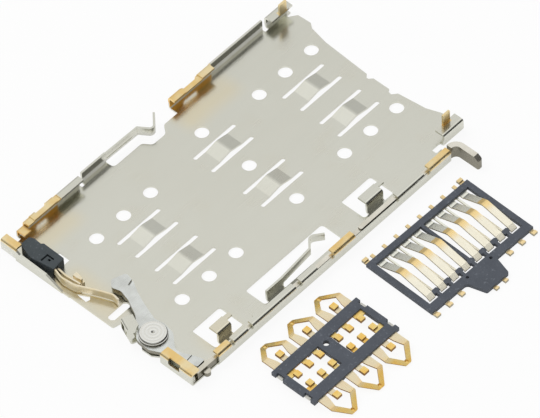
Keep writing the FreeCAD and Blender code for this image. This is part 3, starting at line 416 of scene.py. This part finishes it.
# The eight-contact block's middle and turn. Then, along its contacts in millimetres from that
# middle: where the gold over the crests fades in and where it ends, where the slope behind the
# crests turns to bare metal, where the toes end, and, at both ends of the block, where the gold
# tails start. Last its tones, and how much its toes, front slopes and rear slopes mirror.
BLOCK_MIDDLE = (14.45, -17.755)
BLOCK_TURN = math.radians(-1.4)
CREST_START = (-0.35, 0.42)
CREST_END = (0.90, 0.98)
REAR_SLOPE = (0.42, 0.64)
TOE_END = (-1.80, -1.70)
TAIL_START = (2.90, 3.00)
SILVER = ((253, 245, 220), (255, 251, 234))
REAR_SILVER = (255, 255, 242)
CREST_GOLD = (252, 222, 156)
TAIL_GOLD = (252, 226, 170)
CONTACT_CUT = (184, 174, 148)
TOE_SHINE, FRONT_SHINE, REAR_SHINE = 0.25, 0.50, 0.95


def contact_strip():
    """The lower card's contacts: bright strip, gold-plated over the crests and at the tails."""
    def lengthwise(graph):
        """How far along the block's contacts a place is, in metres."""
        x, y, _ = graph.axes()
        middle = shell_point(*BLOCK_MIDDLE)
        across = graph.math("MULTIPLY", graph.math("SUBTRACT", x, middle[0]), -math.sin(BLOCK_TURN))
        return graph.math("ADD", graph.math("SUBTRACT", y, middle[1]), across)

    def shine(graph):
        along = lengthwise(graph)
        return graph.largest([graph.past(along, TOE_END, TOE_SHINE, FRONT_SHINE),
                              graph.past(along, REAR_SLOPE, 0.0, REAR_SHINE)])

    def tone(graph):
        along = lengthwise(graph)
        band = graph.math("MULTIPLY", graph.past(along, CREST_START),
                          graph.past(along, CREST_END, 1.0, 0.0))
        tail = graph.past(graph.math("ABSOLUTE", along), TAIL_START)
        silver = graph.tones(graph.noise(1500), SILVER)
        silver = graph.mix(graph.past(along, REAR_SLOPE), silver, colour(REAR_SILVER))
        return graph.mix(tail, graph.mix(band, silver, colour(CREST_GOLD)), colour(TAIL_GOLD))
    return plated_strip("contact_strip", CONTACT_CUT, tone, shine)


FINISHES = {
    "shell_sheet": plated_sheet,
    "ejector_steel": stamped_steel,
    "dark_plastic": moulded_plastic,
    "tinned_metal": tinned_metal,
    "gold_plating": sim_strip,
    "contact_metal": contact_strip,
}


def dress_nodes():
    """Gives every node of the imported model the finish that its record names."""
    made = {slot: make() for slot, make in FINISHES.items()}
    blade = gold_blade()
    special = {
        "switch_blade": blade,
        "switch_contact": blade,
        "switch_housing": moulded_plastic("housing_plastic", SWITCH_PLASTIC),
        "lever_rivet": turned_steel(),
        "push_rod": stamped_steel("rod_steel", ROD_STEEL),
    }
    for part in frame["record"]["subparts"]:
        node = frame["nodes"][part["node"]]
        node.data.materials.clear()
        node.data.materials.append(special.get(part["node"], made[part["material_slot"]]))
        node.data.shade_flat()


# The floor: its size and how far it lies under the part, in metres, its tone, and how much plain
# white it shows instead of its shaded self, straight to the camera and mirrored in metal.
FLOOR_SIZE = 3.0
FLOOR_DROP = 0.00002
FLOOR_TONE = 0.9
FLOOR_SEEN = 0.90
FLOOR_MIRRORED = 0.50


def make_floor():
    """A plain white floor that keeps the part's soft shadow."""
    bpy.ops.mesh.primitive_plane_add(size=FLOOR_SIZE, location=(0, 0, -FLOOR_DROP))
    floor = bpy.context.object
    floor.name = "floor"
    material = bpy.data.materials.new("floor_white")
    material.use_nodes = True
    nodes, links = material.node_tree.nodes, material.node_tree.links
    shader = nodes["Principled BSDF"]
    shader.inputs["Base Color"].default_value = (FLOOR_TONE, FLOOR_TONE, FLOOR_TONE, 1)
    shader.inputs["Roughness"].default_value = 1.0
    shader.inputs["Specular IOR Level"].default_value = 0.0
    glow = nodes.new("ShaderNodeEmission")
    rays = nodes.new("ShaderNodeLightPath")
    share = nodes.new("ShaderNodeMath")
    share.operation = "MAXIMUM"
    shown = {"Is Camera Ray": FLOOR_SEEN, "Is Glossy Ray": FLOOR_MIRRORED}
    for socket, (ray, glowing) in zip(share.inputs, shown.items()):
        part = nodes.new("ShaderNodeMath")
        part.operation = "MULTIPLY"
        part.inputs[1].default_value = glowing
        links.new(rays.outputs[ray], part.inputs[0])
        links.new(part.outputs[0], socket)
    mixed = nodes.new("ShaderNodeMixShader")
    links.new(share.outputs[0], mixed.inputs[0])
    links.new(shader.outputs[0], mixed.inputs[1])
    links.new(glow.outputs[0], mixed.inputs[2])
    links.new(mixed.outputs[0], nodes["Material Output"].inputs["Surface"])
    floor.data.materials.append(material)


# How brightly the white surround lights the part.
WHITE = (1.0, 1.0, 1.0, 1.0)
SURROUND = 0.55

# What bare metal mirrors: a bright panel behind the part, a small one high at its right, and a
# dimmer one over the camera. Each is the direction of its middle, and its brightness by how
# straight one looks at it, from aside to the middle.
PANELS = [
    ((0.10, 0.50, 0.86), ((0.20, 0.03), (0.49, 0.12), (0.67, 0.45), (0.76, 0.62), (0.93, 0.68),
                          (1.00, 0.92))),
    ((0.38, 0.12, 0.92), ((0.93, 0.0), (0.985, 0.36), (1.00, 0.38))),
    ((-0.62, -0.62, 0.48), ((0.62, 0.0), (0.97, 0.50))),
]


def make_world():
    """A white surround. Metal mirrors three soft panels over a dark horizon instead."""
    world = bpy.data.worlds.new("surround")
    bpy.context.scene.world = world
    world.use_nodes = True
    nodes, links = world.node_tree.nodes, world.node_tree.links
    plain = nodes["Background"]
    plain.inputs["Color"].default_value = WHITE
    plain.inputs["Strength"].default_value = SURROUND
    place = nodes.new("ShaderNodeTexCoord")
    brightness = None
    for middle, steps in PANELS:
        facing = nodes.new("ShaderNodeVectorMath")
        facing.operation = "DOT_PRODUCT"
        links.new(place.outputs["Generated"], facing.inputs[0])
        facing.inputs[1].default_value = Vector(middle).normalized()
        ramp = nodes.new("ShaderNodeValToRGB")
        ramp.color_ramp.interpolation = "LINEAR"
        # A ramp has two stops at first. Each further one starts anywhere and is placed below.
        while len(ramp.color_ramp.elements) < len(steps):
            ramp.color_ramp.elements.new(0.5)
        for element, (position, level) in zip(ramp.color_ramp.elements, steps):
            element.position = position
            element.color = (level, level, level, 1)
        links.new(facing.outputs["Value"], ramp.inputs["Fac"])
        if brightness is None:
            brightness = ramp.outputs["Color"]
        else:
            total = nodes.new("ShaderNodeMath")
            links.new(brightness, total.inputs[0])
            links.new(ramp.outputs["Color"], total.inputs[1])
            brightness = total.outputs[0]
    mirrored = nodes.new("ShaderNodeBackground")
    links.new(brightness, mirrored.inputs["Color"])
    seen = nodes.new("ShaderNodeBackground")
    seen.inputs["Color"].default_value = WHITE
    rays = nodes.new("ShaderNodeLightPath")
    surface = plain.outputs[0]
    for ray, background in (("Is Glossy Ray", mirrored), ("Is Camera Ray", seen)):
        chosen = nodes.new("ShaderNodeMixShader")
        links.new(rays.outputs[ray], chosen.inputs[0])
        links.new(surface, chosen.inputs[1])
        links.new(background.outputs[0], chosen.inputs[2])
        surface = chosen.outputs[0]
    links.new(surface, nodes["World Output"].inputs["Surface"])


def direction(side, height):
    """A unit vector that points away from the part, from its side and height in radians."""
    return Vector((math.cos(height) * math.cos(side), math.cos(height) * math.sin(side),
                   math.sin(height)))


def softbox(name, side, height, distance, size, power):
    """A square area light that faces the part, its side and height in degrees, its distance and
    size in metres and its power in watts. Metal doesn't mirror it."""
    light = bpy.data.lights.new(name, "AREA")
    light.shape = "SQUARE"
    light.size = size
    light.energy = power
    lamp = bpy.data.objects.new(name, light)
    bpy.context.scene.collection.objects.link(lamp)
    away = direction(math.radians(side), math.radians(height))
    lamp.visible_glossy = False
    lamp.location = away * distance
    lamp.rotation_euler = away.to_track_quat("Z", "Y").to_euler()


def make_camera():
    """The photograph's long lens, aimed by angles, with its slight roll."""
    camera = bpy.data.cameras.new("camera")
    camera.lens = CAMERA_LENS
    camera.sensor_width = SENSOR_WIDTH
    camera.clip_start = CLIP_START
    camera.clip_end = CLIP_END
    holder = bpy.data.objects.new("camera", camera)
    bpy.context.scene.collection.objects.link(holder)
    away = direction(CAMERA_SIDE, CAMERA_HEIGHT)
    holder.location = Vector(AIM) + away * CAMERA_DISTANCE
    upright = away.to_track_quat("Z", "Y").to_matrix()
    holder.rotation_euler = (upright @ Euler((0, 0, CAMERA_ROLL)).to_matrix()).to_euler()
    bpy.context.scene.camera = holder


dress_nodes()
make_floor()
make_world()
softbox("key", side=110, height=55, distance=0.6, size=0.45, power=1.5)
softbox("fill", side=-60, height=40, distance=0.7, size=0.6, power=0.8)
make_camera()
bpy.context.scene.view_settings.view_transform = "Standard"
